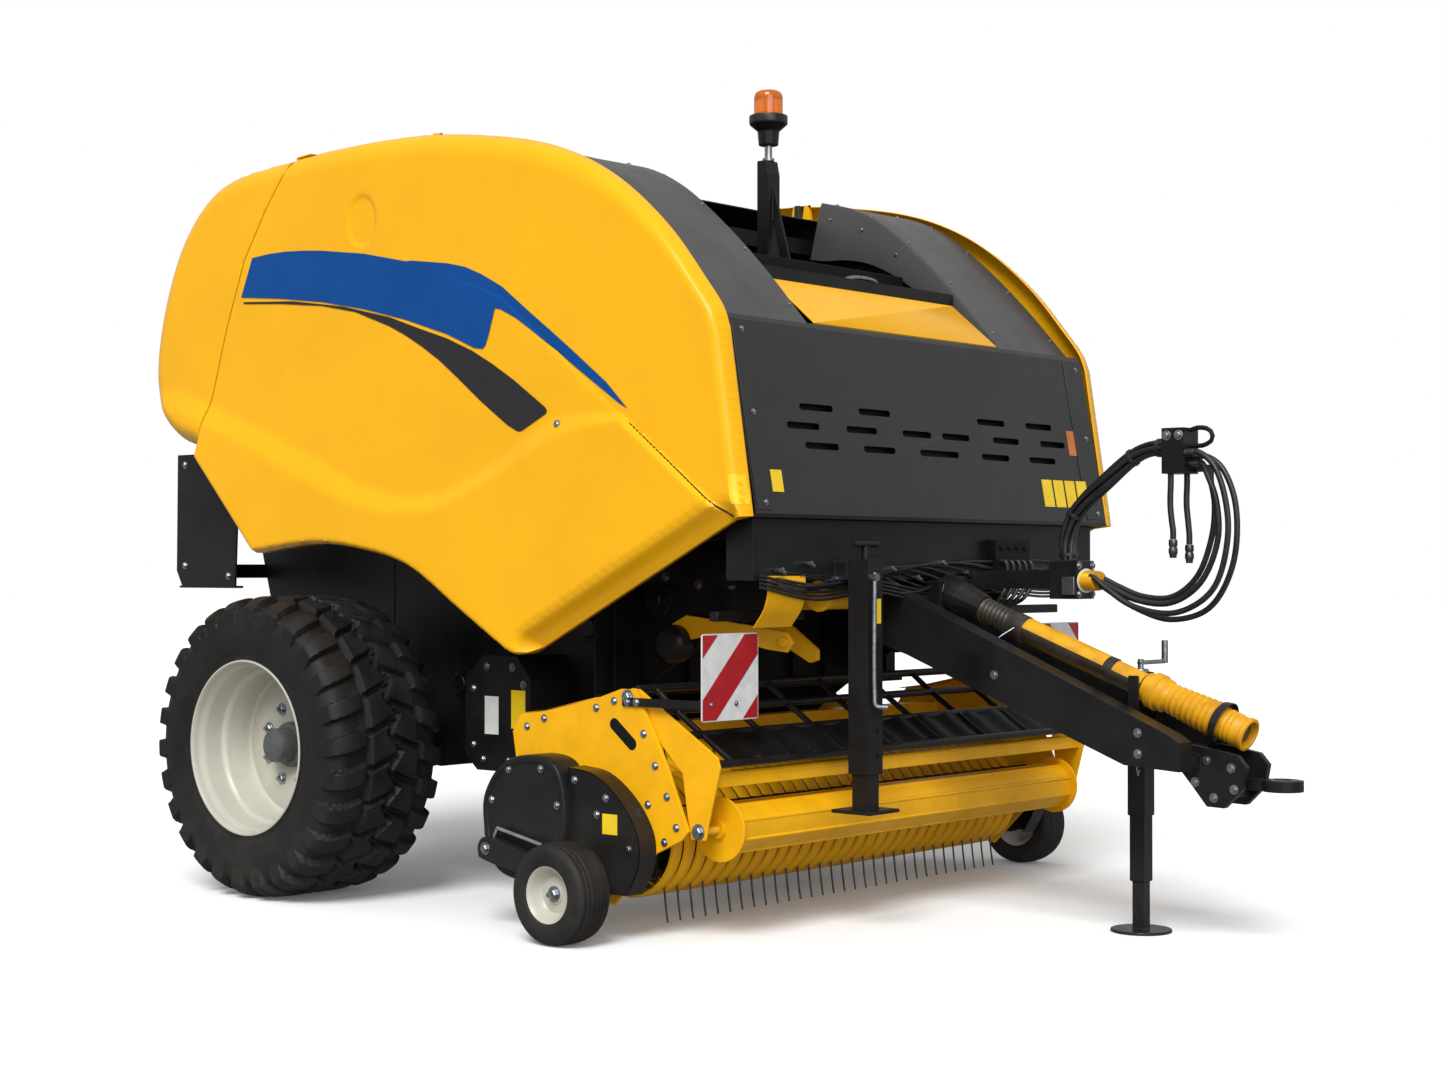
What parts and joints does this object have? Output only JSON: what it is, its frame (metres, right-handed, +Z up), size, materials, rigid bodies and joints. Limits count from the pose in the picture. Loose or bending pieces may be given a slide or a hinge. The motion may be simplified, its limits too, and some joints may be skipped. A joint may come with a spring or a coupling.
{
  "type": "round baler",
  "caption": "Towed fixed-chamber round baler with yellow covers, pick-up, drawbar with jack, and a hinged tailgate.",
  "frame": {"origin": "centre of the footprint box, on the ground", "axes": "+X towards the hitch (direction of travel), +Y the machine's left, +Z up"},
  "size_m": [4.368, 2.796, 2.951],
  "materials": {
    "bare_steel": "machined",
    "black_sleeve": "woven sleeve",
    "black_steel": "satin paint",
    "board_sheet": "reflective stripes",
    "chrome_rod": "polished",
    "cream_paint": "gloss paint",
    "dark_grey_sheet": "satin paint",
    "guard_plastic": "matt",
    "hose_rubber": "matt",
    "orange_lens": "clear lens",
    "tyre_rubber": "matt",
    "yellow_shell": "satin moulded shell",
    "yellow_steel": "gloss paint"
  },
  "bodies": {
    "chassis": {"chassis_frame": "black_steel", "axle_beam": "black_steel", "front_beam": "black_steel", "front_panel": "dark_grey_sheet", "fender_right": "dark_grey_sheet", "fender_left": "dark_grey_sheet", "roof_cover": "dark_grey_sheet", "gearbox": "black_steel", "pto_guard": "guard_plastic", "drawbar": "black_steel", "drawbar_eye": "black_steel", "jack_housing": "black_steel", "stand_post": "black_steel", "hose_beam": "black_steel", "hose_arm": "black_sleeve", "hose_hook": "black_steel", "hose_loop_1": "hose_rubber", "hose_loop_2": "hose_rubber", "hose_loop_3": "hose_rubber", "hose_loop_4": "hose_rubber", "hose_end_1": "hose_rubber", "hose_end_2": "hose_rubber", "coupler_1": "bare_steel", "coupler_2": "bare_steel", "beacon_mast": "black_steel", "beacon_dome": "orange_lens", "lift_arms": "yellow_steel"},
    "wheel_right": {"wheel_tyre_right": "tyre_rubber", "wheel_rim_right": "cream_paint"},
    "wheel_left": {"wheel_tyre_left": "tyre_rubber", "wheel_rim_left": "cream_paint"},
    "tailgate": {"tailgate_cover": "yellow_shell", "tailgate_frame": "black_steel", "tail_wings": "black_steel"},
    "barrel_right": {"cylinder_barrel_right": "black_steel"},
    "barrel_left": {"cylinder_barrel_left": "black_steel"},
    "rod_right": {"cylinder_rod_right": "chrome_rod"},
    "rod_left": {"cylinder_rod_left": "chrome_rod"},
    "side_panel_right": {"side_panel_right": "yellow_shell"},
    "side_panel_left": {"side_panel_left": "yellow_shell"},
    "hood": {"hood": "yellow_shell"},
    "pickup": {"pickup_frame": "yellow_steel", "stripper_bands": "yellow_steel", "gauge_carrier_right": "black_steel", "gauge_carrier_left": "black_steel", "warning_board_right": "board_sheet", "warning_board_left": "board_sheet"},
    "reel": {"tine_reel": "black_steel"},
    "gauge_wheel_right": {"gauge_tyre_right": "tyre_rubber", "gauge_rim_right": "cream_paint"},
    "gauge_wheel_left": {"gauge_tyre_left": "tyre_rubber", "gauge_rim_left": "cream_paint"},
    "wind_guard": {"wind_guard": "yellow_steel", "crop_guide": "black_steel"},
    "wind_roller": {"wind_roller": "yellow_steel"},
    "jack": {"jack_leg": "black_steel"},
    "stand": {"stand_leg": "black_steel"},
    "pto_shaft": {"pto_shaft": "bare_steel"}
  },
  "joints": [
    {"name": "wheel_right_turns", "type": "hinge", "parent": "chassis", "child": "wheel_right", "pos_m": [-1.235, -1.14, 0.545], "axis": [0, 1, 0], "continuous": true},
    {"name": "wheel_left_turns", "type": "hinge", "parent": "chassis", "child": "wheel_left", "pos_m": [-1.235, 1.14, 0.545], "axis": [0, 1, 0], "continuous": true},
    {"name": "tailgate_opens", "type": "hinge", "parent": "chassis", "child": "tailgate", "pos_m": [-1.33, 0, 2.694], "axis": [0, 1, 0], "range_deg": [0, 50]},
    {"name": "barrel_right_tilts", "type": "hinge", "parent": "chassis", "child": "barrel_right", "pos_m": [-0.655, -0.705, 2.11], "axis": [0, 1, 0], "range_deg": [0, 17.92]},
    {"name": "rod_right_extends", "type": "slide", "parent": "barrel_right", "child": "rod_right", "axis": [-1, 0, -0.0052], "range_m": [0, 0.439]},
    {"name": "barrel_left_tilts", "type": "hinge", "parent": "chassis", "child": "barrel_left", "pos_m": [-0.655, 0.705, 2.11], "axis": [0, 1, 0], "range_deg": [0, 17.92]},
    {"name": "rod_left_extends", "type": "slide", "parent": "barrel_left", "child": "rod_left", "axis": [-1, 0, -0.0052], "range_m": [0, 0.439]},
    {"name": "side_panel_right_lifts", "type": "hinge", "parent": "chassis", "child": "side_panel_right", "pos_m": [-0.875, -1.041, 2.726], "axis": [-1, 0, 0], "range_deg": [0, 50]},
    {"name": "side_panel_left_lifts", "type": "hinge", "parent": "chassis", "child": "side_panel_left", "pos_m": [-0.875, 1.041, 2.726], "axis": [1, 0, 0], "range_deg": [0, 50]},
    {"name": "hood_lifts", "type": "hinge", "parent": "chassis", "child": "hood", "pos_m": [0.5, 0, 2.17], "axis": [0, -1, 0], "range_deg": [0, 70]},
    {"name": "pickup_lifts", "type": "hinge", "parent": "chassis", "child": "pickup", "pos_m": [-0.215, 0, 0.6], "axis": [0, -1, 0], "range_deg": [0, 12]},
    {"name": "tine_reel_turns", "type": "hinge", "parent": "pickup", "child": "reel", "pos_m": [0.295, 0, 0.31], "axis": [0, 1, 0], "continuous": true},
    {"name": "gauge_wheel_right_turns", "type": "hinge", "parent": "pickup", "child": "gauge_wheel_right", "pos_m": [0.31, -1.327, 0.163], "axis": [0, 1, 0], "continuous": true},
    {"name": "gauge_wheel_left_turns", "type": "hinge", "parent": "pickup", "child": "gauge_wheel_left", "pos_m": [0.31, 1.327, 0.163], "axis": [0, 1, 0], "continuous": true},
    {"name": "wind_guard_lifts", "type": "hinge", "parent": "pickup", "child": "wind_guard", "pos_m": [0.385, 0, 0.775], "axis": [0, -1, 0], "range_deg": [0, 8]},
    {"name": "wind_roller_turns", "type": "hinge", "parent": "wind_guard", "child": "wind_roller", "pos_m": [0.672, 0, 0.361], "axis": [0, 1, 0], "continuous": true},
    {"name": "jack_retracts", "type": "slide", "parent": "chassis", "child": "jack", "axis": [0, 0, 1], "range_m": [0, 0.33]},
    {"name": "stand_lowers", "type": "slide", "parent": "chassis", "child": "stand", "axis": [0, 0, -1], "range_m": [0, 0.38]},
    {"name": "pto_shaft_turns", "type": "hinge", "parent": "chassis", "child": "pto_shaft", "pos_m": [0.905, 0, 1.09], "axis": [0.9342, 0, -0.3568], "continuous": true}
  ],
  "couplings": [
    {"joint": "barrel_right_tilts", "follows": "tailgate_opens", "ratio": 0.35795},
    {"joint": "rod_right_extends", "follows": "tailgate_opens", "m_per_rad": 0.49974},
    {"joint": "barrel_left_tilts", "follows": "tailgate_opens", "ratio": 0.35795},
    {"joint": "rod_left_extends", "follows": "tailgate_opens", "m_per_rad": 0.49974}
  ]
}
